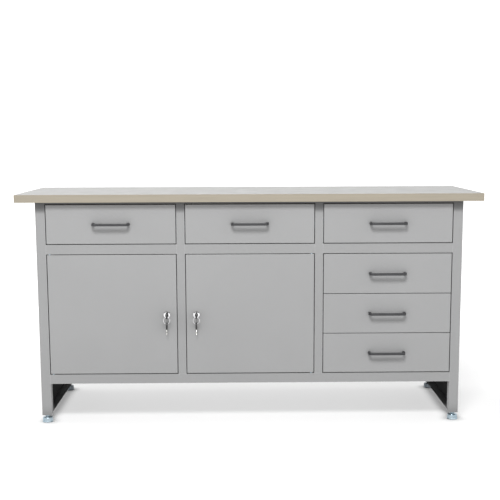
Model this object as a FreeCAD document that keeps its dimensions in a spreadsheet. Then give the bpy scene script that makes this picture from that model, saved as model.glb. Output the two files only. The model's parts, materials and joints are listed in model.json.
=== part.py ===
"""Steel workbench with a wooden top, two lockable cupboards and six drawers.

The frame stands on four levelling feet.  Three bays lie between the end legs and the two
middle posts: a drawer over a cupboard in the left and middle bays, four drawers in the right.

Frame: X runs along the bench to the right, Y from the front to the back, Z up.  The origin
is on the floor under the centre of the worktop.  Millimetres.
"""
import FreeCAD, Part
import os
import re
import Sketcher

# Driving dimensions: name, value, meaning.
SIZES = [
    ("top_width", 1700, "worktop, left to right"),
    ("top_depth", 600, "worktop, front to back"),
    ("top_height", 850, "floor to the top of the worktop"),
    ("top_thick", 28, "worktop thickness"),
    ("band_thick", 2, "edge band round the worktop"),
    ("frame_width", 1560, "frame, over the legs"),
    ("frame_front", -273, "front face of the frame"),
    ("frame_back", 287, "back face of the frame"),
    ("leg_size", 35, "square leg tube"),
    ("post_size", 30, "square tube of the middle posts"),
    ("rail_tall", 35, "height of the middle and bottom rails"),
    ("tube_wall", 1.5, "wall of every tube"),
    ("sheet", 1, "sheet steel"),
    ("leg_bottom", 28, "underside of the legs above the floor"),
    ("floor_rail_z", 148, "underside of the bottom rails"),
    ("mid_rail_z", 632, "underside of the middle rails"),
    ("opening_top", 815, "underside of the top rail's lips"),
    ("gap", 2.5, "gap round every drawer front and door"),
    ("stack_gap", 1.5, "gap between the fronts of the lower drawers"),
    ("front_thick", 18, "depth of a drawer front or door"),
    ("front_proud", 1, "fronts stand this far out of the frame"),
    ("bend_radius", 2, "outer radius of the folded edges of fronts and doors"),
    ("return_lip", 12, "folded lip on the back of a door"),
    ("stiffener_wide", 60, "hat section down the back of a door"),
    ("side_inset", 1.5, "side panels lie this far inside the legs' outer faces"),
    ("side_flange", 31, "flanges round a side panel"),
    ("side_bottom", 31, "underside of the side panels"),
    ("strike_space", 12, "space behind a middle post for the lock's cam"),
    ("floor_flange", 20, "turned-down flange of the cupboard floor"),
    ("slide_thick", 12.7, "telescopic slide, wall to drawer"),
    ("slide_tall", 35, "telescopic slide height"),
    ("slide_length", 450, "telescopic slide length"),
    ("slide_metal", 1.2, "strip that the slide members are rolled from"),
    ("slide_play", 0.5, "clearance between slide members"),
    ("slide_lower", 3, "slides lie this far below the middle of the drawer front"),
    ("slide_lap", 8.5, "how far the outer and inner members reach across the slide"),
    ("tray_raise", 8, "drawer bottom above the lower edge of its front"),
    ("tray_drop", 22, "drawer rim below the upper edge of its front"),
    ("hem_tall", 8, "doubled rim of a drawer tray"),
    ("handle_pitch", 128, "handle hole spacing"),
    ("handle_bar", 9, "handle bar, square"),
    ("handle_reach", 30, "handle depth"),
    ("handle_bend", 10, "outer bend of the handle"),
    ("handle_crook", 3, "inner bend of the handle"),
    ("handle_screw_tall", 2.5, "heads of the handle screws"),
    ("screw_radius", 2, "small screws"),
    ("screw_head", 3.8, "small screw heads"),
    ("rail_web", 2, "web of the top rails"),
    ("wood_screw_tall", 3, "heads of the worktop screws"),
    ("wood_screw_bite", 15, "worktop screw inside the board"),
    ("pilot_depth", 16, "pilot holes in the board"),
    ("wood_screw_inset", 60, "worktop screws from the legs and posts"),
    ("shelf_z", 420, "top of the shelves"),
    ("shelf_depth", 440, "shelf, front to back"),
    ("shelf_edge", 24, "turned-down edge of a shelf"),
    ("shelf_play", 2, "gap beside a shelf"),
    ("shelf_clear", 10, "gap behind a shelf"),
    ("clip_reach", 12, "shelf clip, out from the wall"),
    ("clip_long", 20, "shelf clip, front to back"),
    ("clip_thick", 3, "shelf clip thickness"),
    ("clip_inset", 40, "shelf clips from the shelf's front and back edges"),
    ("hinge_inset", 10, "pivot axis from the side edge of the door"),
    ("hinge_setback", 5.5, "pivot axis behind the face of the door"),
    ("hinge_radius", 2.5, "pivot pin"),
    ("hinge_collar", 4.5, "collar of the pivot pin"),
    ("collar_play", 0.3, "space above or below the collar"),
    ("hinge_reach", 12, "pivot pin inside the door, and inside the rail"),
    ("running_play", 0.05, "clearance round a running pin"),
    ("lock_inset", 37, "lock axis from the free edge of the door"),
    ("lock_z", 405, "lock axis height"),
    ("lock_radius", 9.5, "lock body"),
    ("rosette_radius", 13, "flange of the lock on the door's face"),
    ("rosette_thick", 3, "flange thickness"),
    ("rosette_rim", 1, "thickness of the flange at its rim"),
    ("rosette_bevel", 2, "width of the bevel round the flange"),
    ("plug_radius", 6.5, "rotating plug"),
    ("cam_play", 0.5, "space between the lock body and the cam"),
    ("lock_length", 32, "lock body from the door's face to the cam"),
    ("cam_length", 50, "cam, from the lock axis to its tip"),
    ("cam_wide", 15, "cam width"),
    ("cam_thick", 2.5, "cam thickness"),
    ("keyway_wide", 2.4, "keyway width"),
    ("keyway_tall", 8, "keyway height"),
    ("keyway_play", 1, "keyway beyond the tip of the blade"),
    ("blade_thick", 2, "key blade"),
    ("blade_tall", 7, "key blade height"),
    ("blade_length", 24, "key blade length"),
    ("bow_thick", 6, "plastic key bow, thickness"),
    ("bow_tall", 20, "plastic key bow, height"),
    ("bow_long", 23, "plastic key bow, along the key"),
    ("bow_corner", 5, "corner radius of the key bow"),
    ("bow_hole", 2.6, "hole in the key bow"),
    ("hole_inset", 5.5, "hole centre from the edges of the bow"),
    ("ring_drop", 1, "the ring's wire lies this far off the centre of a key's hole"),
    ("ring_radius", 12, "key ring, to the middle of its wire"),
    ("ring_wire", 0.7, "key ring wire radius"),
    ("foot_radius", 20, "levelling foot, at the floor"),
    ("foot_waist", 18.5, "levelling foot, at the top of its body"),
    ("foot_rim", 2.5, "rim round the foot at the floor, its height"),
    ("foot_tall", 19, "levelling foot body"),
    ("foot_shoulder", 3, "radius of the foot's shoulder"),
    ("foot_hub", 8, "hub on top of the foot"),
    ("stud_radius", 5, "levelling foot stud"),
    ("stud_top", 72, "top of the stud"),
    ("stud_point", 1, "bevel on the tip of the stud"),
    ("nut_flats", 17, "lock nut across flats"),
    ("nut_thick", 5, "lock nut"),
    ("insert_tall", 25, "threaded insert in the leg's end"),
]

os.makedirs("parts", exist_ok=True)
doc = FreeCAD.newDocument("workbench")
sizes = doc.addObject("Spreadsheet::Sheet", "Sizes")
for row, (alias, value, meaning) in enumerate(SIZES, start=1):
    sizes.set(f"A{row}", meaning)
    sizes.set(f"B{row}", str(value))
    sizes.setAlias(f"B{row}", alias)
doc.recompute()

TOLERANCE = 0.1
ALIASES = re.compile(r"\b(" + "|".join(alias for alias, value, meaning in SIZES) + r")\b")
nodes = []


# ---------------------------------------------------------------- helpers

def sized(text):
    """An expression in which every named dimension refers to the spreadsheet."""
    return ALIASES.sub(r"Sizes.\1", str(text))


def number(text):
    """The present value of an expression."""
    return float(sizes.evalExpression(sized(text)))


def bind(item, **properties):
    for name, text in properties.items():
        item.setExpression(name, sized(text))
    return item


def place(item, at, rotation=FreeCAD.Rotation()):
    item.Placement = FreeCAD.Placement(FreeCAD.Vector(), rotation)
    for axis, text in zip("xyz", at):
        item.setExpression(f"Placement.Base.{axis}", sized(text))
    return item


def unused_name(base):
    name = base
    serial = 1
    while doc.getObject(name):
        serial += 1
        name = f"{base}_{serial}"
    return name


def make(kind, name):
    return doc.addObject(kind, unused_name(name))


def box(name, low, size):
    """A block from its lowest corner and its three sizes."""
    block = make("Part::Box", name)
    bind(block, Length=size[0], Width=size[1], Height=size[2])
    return place(block, low)


ALONG = {
    "+X": FreeCAD.Rotation(FreeCAD.Vector(0, 1, 0), 90),
    "+Y": FreeCAD.Rotation(FreeCAD.Vector(1, 0, 0), -90),
    "+Z": FreeCAD.Rotation(),
}


def rod(name, start, direction, radius, length):
    """A cylinder from the centre of its first face."""
    cylinder = make("Part::Cylinder", name)
    bind(cylinder, Radius=radius, Height=length)
    return place(cylinder, start, ALONG[direction])


def cut(name, base, *tools):
    """The base less every tool."""
    result = base
    for tool in tools:
        step = make("Part::Cut", name)
        step.Base = result
        step.Tool = tool
        result = step
    return result


def joined(name, *pieces):
    """Touching pieces as one solid."""
    fuse = make("Part::MultiFuse", name)
    fuse.Shapes = list(pieces)
    fuse.Refine = True
    return fuse


def rounded(name, block, radius, wanted):
    """The block with a radius on every edge whose two ends pass the test."""
    doc.recompute()
    size = number(radius)
    fillet = make("Part::Fillet", name)
    fillet.Base = block
    picked = []
    for index, edge in enumerate(block.Shape.Edges, start=1):
        if wanted(*[vertex.Point for vertex in edge.Vertexes]):
            picked.append((index, size, size))
    fillet.Edges = picked
    return fillet


def along_x(start, end):
    return abs(end.x - start.x) > TOLERANCE


def in_front_face(start, end):
    """Edges of a front: those that bound its face, and the four that run back from its corners."""
    face = number(FACE_Y) + number("sheet") + TOLERANCE
    return start.y < face or end.y < face


def sub_part(label, *pieces):
    """A finished sub-part: one solid, or a group of separate solids."""
    if len(pieces) == 1:
        item = pieces[0]
    else:
        item = make("Part::Compound", label)
        item.Links = list(pieces)
    item.Label = label
    nodes.append(item)
    return item


def body_at(name, at, rotation=FreeCAD.Rotation()):
    return place(make("PartDesign::Body", name), at, rotation)


def sketch_on(body, role):
    plane = next(item for item in body.Origin.OriginFeatures if item.Role == role)
    sketch = body.newObject("Sketcher::SketchObject", unused_name(body.Name + "_sketch"))
    sketch.AttachmentSupport = [(plane, "")]
    sketch.MapMode = "FlatFace"
    return sketch


def hold(sketch, kind, text, *reference):
    """A dimension of the sketch, bound to an expression."""
    index = sketch.addConstraint(Sketcher.Constraint(kind, *reference, number(text)))
    sketch.setExpression(f"Constraints[{index}]", sized(text))


def outline(sketch, corners):
    """A closed outline of straight lines through the corners."""
    first = sketch.GeometryCount
    count = len(corners)
    points = [FreeCAD.Vector(number(across), number(up), 0) for across, up in corners]
    for index, point in enumerate(points):
        sketch.addGeometry(Part.LineSegment(point, points[(index + 1) % count]), False)
    for index, (across, up) in enumerate(corners):
        following = first + (index + 1) % count
        sketch.addConstraint(Sketcher.Constraint("Coincident", first + index, 2, following, 1))
        hold(sketch, "DistanceX", across, -1, 1, first + index, 1)
        hold(sketch, "DistanceY", up, -1, 1, first + index, 1)


def pad(body, sketch, length, backwards=False):
    feature = body.newObject("PartDesign::Pad", unused_name(body.Name + "_pad"))
    feature.Profile = sketch
    feature.Reversed = backwards
    bind(feature, Length=length)
    return feature


def revolve(body, sketch):
    """The sketch turned once round the body's own Z axis."""
    feature = body.newObject("PartDesign::Revolution", unused_name(body.Name + "_turned"))
    feature.Profile = sketch
    feature.ReferenceAxis = (sketch, ["V_Axis"])
    feature.Angle = 360
    return feature


def tube(name, low, size, axis):
    """A rectangular tube along X or Z, from the lowest corner of its box."""
    body = body_at(name, low)
    wall = "tube_wall"
    role, wide, tall, length = {
        "X": ("YZ_Plane", size[1], size[2], size[0]),
        "Z": ("XY_Plane", size[0], size[1], size[2]),
    }[axis]
    sketch = sketch_on(body, role)
    outline(sketch, [("0", "0"), (wide, "0"), (wide, tall), ("0", tall)])
    right = f"{wide} - {wall}"
    top = f"{tall} - {wall}"
    outline(sketch, [(wall, wall), (right, wall), (right, top), (wall, top)])
    pad(body, sketch, length)
    return body


def channel(name, at, web, lip, half_tall, side):
    """A slide member: a C-shaped strip along Y.  web and lip are distances from the wall."""
    body = body_at(name, at)
    sketch = sketch_on(body, "XZ_Plane")
    metal = "slide_metal"
    inner_tall = f"({half_tall} - {metal})"
    towards_lip = "+" if number(lip) > number(web) else "-"
    inside = f"{side} * ({web} {towards_lip} {metal})"
    back = f"{side} * ({web})"
    edge = f"{side} * ({lip})"
    outline(sketch, [
        (back, f"-{half_tall}"), (edge, f"-{half_tall}"),
        (edge, f"-{inner_tall}"), (inside, f"-{inner_tall}"),
        (inside, inner_tall), (edge, inner_tall),
        (edge, half_tall), (back, half_tall),
    ])
    pad(body, sketch, "slide_length", backwards=True)
    return body


# ---------------------------------------------------------------- shared positions

UNDER_TOP = "(top_height - top_thick)"
HALF_FRAME = "(frame_width / 2)"
LEG_INNER = "(frame_width / 2 - leg_size)"
BAY = "((frame_width - 2 * leg_size - 2 * post_size) / 3)"
BAY_LEFT = {
    "left": f"(-{LEG_INNER})",
    "middle": f"(-{BAY} / 2)",
    "right": f"({BAY} / 2 + post_size)",
}
POST_LEFT = (f"(-{BAY} / 2 - post_size)", f"({BAY} / 2)")
BEHIND_LEG = "(frame_front + leg_size)"
BEHIND_POST = "(frame_front + post_size)"
REAR_LEG_FRONT = "(frame_back - leg_size)"
FLOOR_Z = "(floor_rail_z + rail_tall)"
UPPER_Z = "(mid_rail_z + rail_tall)"
BACK_PANEL_Y = "(frame_back - 2 * sheet)"
FACE_Y = "(frame_front - front_proud)"
FRONT_WIDE = f"({BAY} - 2 * gap)"
UPPER_TALL = f"(opening_top - {UPPER_Z} - 2 * gap)"
DOOR_TALL = f"(mid_rail_z - {FLOOR_Z} - 2 * gap)"
LOWER_TALL = f"(({DOOR_TALL} - 2 * stack_gap) / 3)"


# ---------------------------------------------------------------- worktop

def worktop():
    """A laminated board with a band round its edge, screwed down through the top rails."""
    band = "band_thick"
    wide = f"top_width - 2 * {band}"
    deep = f"top_depth - 2 * {band}"
    corner = (f"-top_width / 2 + {band}", f"-top_depth / 2 + {band}", UNDER_TOP)
    board = box("board", corner, (wide, deep, "top_thick"))
    spots = [(across, along) for across in screw_columns() for along in screw_rows()]
    holes = [rod("pilot", (x, y, UNDER_TOP), "+Z", "screw_radius", "pilot_depth") for x, y in spots]
    sub_part("worktop_board", cut("board_drilled", board, *holes))

    whole = box("band_outer", ("-top_width / 2", "-top_depth / 2", UNDER_TOP),
                ("top_width", "top_depth", "top_thick"))
    middle = box("band_inner", corner, (wide, deep, "top_thick"))
    sub_part("worktop_edge_band", cut("band", whole, middle))

    sub_part("worktop_screws", *[wood_screw(x, y) for x, y in spots])


def screw_columns():
    from_legs = f"({LEG_INNER} - wood_screw_inset)"
    from_posts = f"({BAY} / 2 - wood_screw_inset)"
    return [f"-{from_legs}", f"-{from_posts}", from_posts, from_legs]


def screw_rows():
    return ["(frame_front + post_size / 2)", "(frame_back - post_size / 2)"]


def wood_screw(x, y):
    under_web = f"({UNDER_TOP} - rail_web)"
    under_head = f"{under_web} - wood_screw_tall"
    head = rod("screw_head", (x, y, under_head), "+Z", "screw_head", "wood_screw_tall")
    shank = rod("screw_shank", (x, y, under_web), "+Z", "screw_radius", "rail_web + wood_screw_bite")
    return joined("wood_screw", head, shank)


# ---------------------------------------------------------------- frame

def legs():
    """Four square tubes, closed at the foot by a threaded insert."""
    tall = f"{UNDER_TOP} - leg_bottom"
    for name, front in (("front_legs", "frame_front"), ("rear_legs", REAR_LEG_FRONT)):
        pair = []
        for left in (f"-{HALF_FRAME}", LEG_INNER):
            low = (left, front, "leg_bottom")
            pair.append(tube("leg", low, ("leg_size", "leg_size", tall), "Z"))
        sub_part(name, *pair)


def leg_centres():
    """Name and centre of each leg."""
    rows = {"front": "(frame_front + leg_size / 2)", "rear": "(frame_back - leg_size / 2)"}
    columns = {"left": f"(-{HALF_FRAME} + leg_size / 2)", "right": f"({HALF_FRAME} - leg_size / 2)"}
    return [(f"{row}_{column}", columns[column], rows[row]) for row in rows for column in columns]


def leg_inserts():
    inner = "leg_size - 2 * tube_wall"
    inserts = []
    for name, x, y in leg_centres():
        low = (f"{x} - ({inner}) / 2", f"{y} - ({inner}) / 2", "leg_bottom")
        block = box("insert_block", low, (inner, inner, "insert_tall"))
        bore = rod("insert_bore", (x, y, "leg_bottom"), "+Z", "stud_radius + running_play", "insert_tall")
        inserts.append(cut("leg_insert", block, bore))
    sub_part("leg_inserts", *inserts)


def posts_and_rails():
    """The two middle posts and the tubes and channels that tie the frame together."""
    post_tall = f"opening_top - {FLOOR_Z}"
    posts = []
    for left in POST_LEFT:
        low = (left, "frame_front", FLOOR_Z)
        posts.append(tube("post", low, ("post_size", "post_size", post_tall), "Z"))
    sub_part("middle_posts", *posts)

    sub_part("top_rails", top_rail("frame_front"), top_rail("frame_back - post_size"))

    mid_size = (BAY, "post_size", "rail_tall")
    rails = []
    for bay, left in BAY_LEFT.items():
        rail = tube("mid_rail", (left, "frame_front", "mid_rail_z"), mid_size, "X")
        if bay != "right":
            rail = cut("mid_rail_drilled", rail, hinge_socket(bay, "mid_rail_z", "tube_wall"))
        rails.append(rail)
    sub_part("mid_rails", *rails)

    span = f"2 * {LEG_INNER}"
    front = tube("front_rail", (f"-{LEG_INNER}", "frame_front", "floor_rail_z"),
                 (span, "leg_size", "rail_tall"), "X")
    sockets = [hinge_socket(bay, f"{FLOOR_Z} - tube_wall", "tube_wall") for bay in ("left", "middle")]
    rear = tube("rear_rail", (f"-{LEG_INNER}", REAR_LEG_FRONT, "floor_rail_z"),
                (span, "leg_size", "rail_tall"), "X")
    sub_part("bottom_rails", cut("front_rail_drilled", front, *sockets), rear)


def top_rail(front):
    """A shallow channel under the worktop, its lips turned down, with the screw holes."""
    span = f"2 * {LEG_INNER}"
    lip = f"{UNDER_TOP} - opening_top"
    low = (f"-{LEG_INNER}", front, "opening_top")
    block = box("top_rail_block", low, (span, "post_size", lip))
    hollow = box("top_rail_hollow", (low[0], f"{front} + tube_wall", low[2]),
                 (span, "post_size - 2 * tube_wall", f"{lip} - rail_web"))
    holes = []
    for x in screw_columns():
        start = (x, f"{front} + post_size / 2", f"{UNDER_TOP} - rail_web")
        holes.append(rod("screw_hole", start, "+Z", "screw_radius", "rail_web"))
    return cut("top_rail", block, hollow, *holes)


def panels():
    """The sheet panels: sides, back, cupboard floor, the walls that carry the slides."""
    for name, side in (("side_panel_left", -1), ("side_panel_right", 1)):
        sub_part(name, side_panel(side))

    back_low = (f"-{LEG_INNER}", BACK_PANEL_Y, FLOOR_Z)
    sub_part("back_panel", box("back", back_low, (
        f"2 * {LEG_INNER}", "sheet", f"opening_top - {FLOOR_Z}")))

    deep = f"{REAR_LEG_FRONT} - {BEHIND_LEG}"
    floor_block = box("floor_block", (f"-{LEG_INNER}", BEHIND_LEG, f"{FLOOR_Z} - floor_flange"),
                      (f"2 * {LEG_INNER}", deep, "floor_flange"))
    hollow = box("floor_hollow", (f"-{LEG_INNER} + sheet", f"{BEHIND_LEG} + sheet",
                                  f"{FLOOR_Z} - floor_flange"),
                 (f"2 * {LEG_INNER} - 2 * sheet", f"{deep} - 2 * sheet", "floor_flange - sheet"))
    sub_part("cabinet_floor", cut("floor_pan", floor_block, hollow))

    tall = f"opening_top - {FLOOR_Z}"
    walls = []
    for left in (f"-{LEG_INNER} - sheet", LEG_INNER):
        walls.append(box("liner", (left, BEHIND_LEG, FLOOR_Z), ("sheet", deep, tall)))
    front = f"{BEHIND_POST} + strike_space"
    for left in POST_LEFT:
        size = ("post_size", f"{BACK_PANEL_Y} - ({front})", tall)
        block = box("partition_block", (left, front, FLOOR_Z), size)
        inner = box("partition_hollow", (f"{left} + sheet", f"{front} + sheet", FLOOR_Z),
                    ("post_size - 2 * sheet", f"{size[1]} - 2 * sheet", tall))
        walls.append(cut("partition", block, inner))
    sub_part("cabinet_walls", *walls)


def side_panel(side):
    """A sheet between the legs, with flanges turned inwards along its four edges."""
    outer = f"({HALF_FRAME} - side_inset)"
    left = f"-{outer}" if side < 0 else f"{outer} - side_flange"
    deep = f"{REAR_LEG_FRONT} - {BEHIND_LEG}"
    tall = f"{UNDER_TOP} - side_bottom"
    block = box("side_block", (left, BEHIND_LEG, "side_bottom"), ("side_flange", deep, tall))
    inner_left = f"{left} + sheet" if side < 0 else left
    hollow = box("side_hollow", (inner_left, f"{BEHIND_LEG} + sheet", "side_bottom + sheet"),
                 ("side_flange - sheet", f"{deep} - 2 * sheet", f"{tall} - 2 * sheet"))
    return cut("side_panel", block, hollow)


def shelves():
    """A shelf in each cupboard on four clips."""
    pans = []
    clips = []
    front = f"({BACK_PANEL_Y} - shelf_clear - shelf_depth)"
    wide = f"{BAY} - 2 * shelf_play"
    for bay in ("left", "middle"):
        left = f"{BAY_LEFT[bay]} + shelf_play"
        pan = box("shelf_block", (left, front, "shelf_z - shelf_edge"),
                  (wide, "shelf_depth", "shelf_edge"))
        hollow = box("shelf_hollow", (f"{left} + sheet", f"{front} + sheet", "shelf_z - shelf_edge"),
                     (f"{wide} - 2 * sheet", "shelf_depth - 2 * sheet", "shelf_edge - sheet"))
        pans.append(cut("shelf", pan, hollow))
        for start in (BAY_LEFT[bay], f"{BAY_LEFT[bay]} + {BAY} - clip_reach"):
            for along in (f"{front} + clip_inset", f"{front} + shelf_depth - clip_inset - clip_long"):
                low = (start, along, "shelf_z - shelf_edge - clip_thick")
                clips.append(box("shelf_clip", low, ("clip_reach", "clip_long", "clip_thick")))
    sub_part("shelves", *pans)
    sub_part("shelf_clips", *clips)


# ---------------------------------------------------------------- levelling feet

def feet():
    """A pressed foot on a stud, and the nut that locks the stud under the leg."""
    under_nut = "leg_bottom - nut_thick"
    for name, x, y in leg_centres():
        body = body_at("foot_turned", (x, y, "0"))
        sketch = sketch_on(body, "XZ_Plane")
        outline(sketch, [
            ("0", "0"), ("foot_radius", "0"), ("foot_radius", "foot_rim"), ("foot_waist", "foot_tall"),
            ("foot_hub", "foot_tall"), ("foot_hub", under_nut), ("stud_radius", under_nut),
            ("stud_radius", "stud_top - stud_point"), ("stud_radius - stud_point", "stud_top"),
            ("0", "stud_top"),
        ])
        revolve(body, sketch)
        sub_part(f"foot_{name}", rounded("foot", body, "foot_shoulder", shoulder_of(x, y)))

    nuts = []
    for name, x, y in leg_centres():
        prism = make("Part::Prism", "nut_prism")
        prism.Polygon = 6
        bind(prism, Circumradius="nut_flats / sqrt(3)", Height="nut_thick")
        place(prism, (x, y, "leg_bottom - nut_thick"))
        bore = rod("nut_bore", (x, y, "leg_bottom - nut_thick"), "+Z",
                   "stud_radius + running_play", "nut_thick")
        nuts.append(cut("lock_nut", prism, bore))
    sub_part("foot_lock_nuts", *nuts)


def shoulder_of(x, y):
    """The test for the round edge at the top of a foot's body."""
    centre = FreeCAD.Vector(number(x), number(y), number("foot_tall"))

    def on_shoulder(*ends):
        return all(abs((end - centre).Length - number("foot_waist")) < TOLERANCE for end in ends)

    return on_shoulder


# ---------------------------------------------------------------- doors

def hinge_x(bay):
    """The left door turns on its left edge, the middle bay's door on its right edge."""
    if bay == "left":
        return f"({BAY_LEFT[bay]} + gap + hinge_inset)"
    return f"({BAY_LEFT[bay]} + {BAY} - gap - hinge_inset)"


def lock_x(bay):
    if bay == "left":
        return f"({BAY_LEFT[bay]} + {BAY} - gap - lock_inset)"
    return f"({BAY_LEFT[bay]} + gap + lock_inset)"


HINGE_Y = f"({FACE_Y} + hinge_setback)"


def hinge_socket(bay, low_z, tall):
    return rod("hinge_socket", (hinge_x(bay), HINGE_Y, low_z), "+Z", "hinge_radius", tall)


def hinge_pins():
    """Shouldered pivot pins: one end in the rail, a collar in the gap, one end in the door."""
    pins = []
    for bay in ("left", "middle"):
        starts = {"lower": f"{FLOOR_Z} - hinge_reach", "upper": "mid_rail_z - gap - hinge_reach"}
        for name, start in starts.items():
            pin = rod("hinge_pin", (hinge_x(bay), HINGE_Y, start), "+Z",
                      "hinge_radius", "2 * hinge_reach + gap")
            collar_z = FLOOR_Z if name == "lower" else "mid_rail_z - gap + collar_play"
            collar = rod("hinge_collar", (hinge_x(bay), HINGE_Y, collar_z), "+Z",
                         "hinge_collar", "gap - collar_play")
            pins.append(joined("pivot_pin", pin, collar))
    sub_part("hinge_pins", *pins)


def doors():
    """A folded pan with a lip round its back, drilled for the pivot pins and the lock."""
    for bay, name in (("left", "door_left"), ("middle", "door_right")):
        left = f"{BAY_LEFT[bay]} + gap"
        low = (left, FACE_Y, f"{FLOOR_Z} + gap")
        pan = box("door_block", low, (FRONT_WIDE, "front_thick", DOOR_TALL))
        pan = rounded("door_rounded", pan, "bend_radius", in_front_face)
        inside = box("door_inside", (f"{left} + sheet", f"{FACE_Y} + sheet", f"{FLOOR_Z} + gap + sheet"),
                     (f"{FRONT_WIDE} - 2 * sheet", "front_thick - 2 * sheet", f"{DOOR_TALL} - 2 * sheet"))
        inside = rounded("door_inside_rounded", inside, "bend_radius - sheet", in_front_face)
        mouth = box("door_mouth", (f"{left} + return_lip", f"{FACE_Y} + front_thick - sheet",
                                   f"{FLOOR_Z} + gap + return_lip"),
                    (f"{FRONT_WIDE} - 2 * return_lip", "sheet", f"{DOOR_TALL} - 2 * return_lip"))
        pivot = rod("pivot_hole", (hinge_x(bay), HINGE_Y, FLOOR_Z), "+Z",
                    "hinge_radius + running_play", f"{DOOR_TALL} + 2 * gap")
        lock_hole = rod("lock_hole", (lock_x(bay), FACE_Y, "lock_z"), "+Y", "lock_radius", "front_thick")
        sub_part(name, cut("door_pan", pan, inside, mouth, pivot, lock_hole), door_stiffener(left))


def door_stiffener(left):
    """A folded channel down the middle of the door, open towards its face."""
    start = f"{left} + ({FRONT_WIDE} - stiffener_wide) / 2"
    low = (start, f"{FACE_Y} + sheet", f"{FLOOR_Z} + gap + return_lip")
    deep = "front_thick - sheet"
    tall = f"{DOOR_TALL} - 2 * return_lip"
    block = box("stiffener_block", low, ("stiffener_wide", deep, tall))
    hollow = box("stiffener_hollow", (f"{start} + sheet", low[1], low[2]),
                 ("stiffener_wide - 2 * sheet", f"{deep} - sheet", tall))
    return cut("stiffener", block, hollow)


def locks():
    """Cam lock with its key: housing, turning plug with cam, key, ring and spare key."""
    for bay, name in (("left", "left"), ("middle", "right")):
        centre = (lock_x(bay), FACE_Y, "lock_z")
        toward_back = ALONG["+Y"]
        housing = body_at("lock_housing", centre, toward_back)
        sketch = sketch_on(housing, "XZ_Plane")
        bore = "(plug_radius + running_play)"
        outline(sketch, [
            (bore, "-rosette_thick"), ("rosette_radius - rosette_bevel", "-rosette_thick"),
            ("rosette_radius", "-rosette_rim"), ("rosette_radius", "0"), ("lock_radius", "0"),
            ("lock_radius", "lock_length - cam_play"), (bore, "lock_length - cam_play"),
        ])
        revolve(housing, sketch)
        sub_part(f"lock_housing_{name}", housing)

        plug = rod("plug_core", (centre[0], f"{FACE_Y} - rosette_thick", "lock_z"), "+Y",
                   "plug_radius", "rosette_thick + lock_length")
        cam_y = f"{FACE_Y} + lock_length"
        cam = box("cam_plate", (f"{centre[0]} - cam_wide / 2", cam_y, "lock_z - cam_length"),
                  ("cam_wide", "cam_thick", "cam_length"))
        cam_root = rod("cam_root", (centre[0], cam_y, "lock_z"), "+Y", "cam_wide / 2", "cam_thick")
        keyway = box("keyway", (f"{centre[0]} - keyway_wide / 2", f"{FACE_Y} - rosette_thick",
                                "lock_z - keyway_tall / 2"),
                     ("keyway_wide", "blade_length + keyway_play", "keyway_tall"))
        plug_and_cam = joined("plug_and_cam", plug, cam, cam_root)
        sub_part(f"lock_cam_{name}", cut("lock_cam", plug_and_cam, keyway))

        key_face = f"({FACE_Y} - rosette_thick)"
        sub_part(f"key_{name}", *key_pieces(centre[0], key_face))
        ring_z = f"({HOLE_Z} - ring_drop - ring_radius)"
        ring_y = f"({key_face} - bow_long + hole_inset)"
        ring = make("Part::Torus", "split_ring")
        bind(ring, Radius1="ring_radius", Radius2="ring_wire")
        place(ring, (centre[0], ring_y, ring_z), ALONG["+Y"])
        sub_part(f"key_ring_{name}", ring)

        hole_z = f"({ring_z} - ring_radius - ring_drop)"
        sub_part(f"spare_key_{name}", *hanging_key(centre[0], ring_y, hole_z))


HOLE_Z = "(lock_z - bow_tall / 2 + hole_inset)"


def key_pieces(x, face_y):
    """A key in its lock: a steel blade and a plastic bow whose hole takes the ring."""
    blade = box("key_blade", (f"{x} - blade_thick / 2", face_y, "lock_z - blade_tall / 2"),
                ("blade_thick", "blade_length", "blade_tall"))
    bow = box("key_bow", (f"{x} - bow_thick / 2", f"{face_y} - bow_long", "lock_z - bow_tall / 2"),
              ("bow_thick", "bow_long", "bow_tall"))
    shaped = rounded("key_bow_rounded", bow, "bow_corner", along_x)
    start = (f"{x} - bow_thick / 2", f"{face_y} - bow_long + hole_inset", HOLE_Z)
    hole = rod("bow_hole", start, "+X", "bow_hole", "bow_thick")
    return blade, cut("key_bow_drilled", shaped, hole)


def hanging_key(x, y, hole_z):
    """The spare key, hanging by its bow from the bottom of the ring."""
    top = f"({hole_z} + hole_inset)"
    bow = box("spare_bow", (f"{x} - bow_thick / 2", f"{y} - bow_tall / 2", f"{top} - bow_long"),
              ("bow_thick", "bow_tall", "bow_long"))
    shaped = rounded("spare_bow_rounded", bow, "bow_corner", along_x)
    hole = rod("spare_hole", (f"{x} - bow_thick / 2", y, hole_z), "+X", "bow_hole", "bow_thick")
    blade = box("spare_blade", (f"{x} - blade_thick / 2", f"{y} - blade_tall / 2",
                                f"{top} - bow_long - blade_length"),
                ("blade_thick", "blade_tall", "blade_length"))
    return cut("spare_bow_drilled", shaped, hole), blade


# ---------------------------------------------------------------- drawers

def drawer_list():
    """Name, bay, lower edge of the front and height of the front for every drawer."""
    rows = [(f"upper_{bay}", bay, f"({UPPER_Z} + gap)", UPPER_TALL) for bay in BAY_LEFT]
    for index, name in enumerate(("lower_bottom", "lower_middle", "lower_top")):
        low = f"({FLOOR_Z} + gap + {index} * ({LOWER_TALL} + stack_gap))"
        rows.append((name, "right", low, LOWER_TALL))
    return rows


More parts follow.
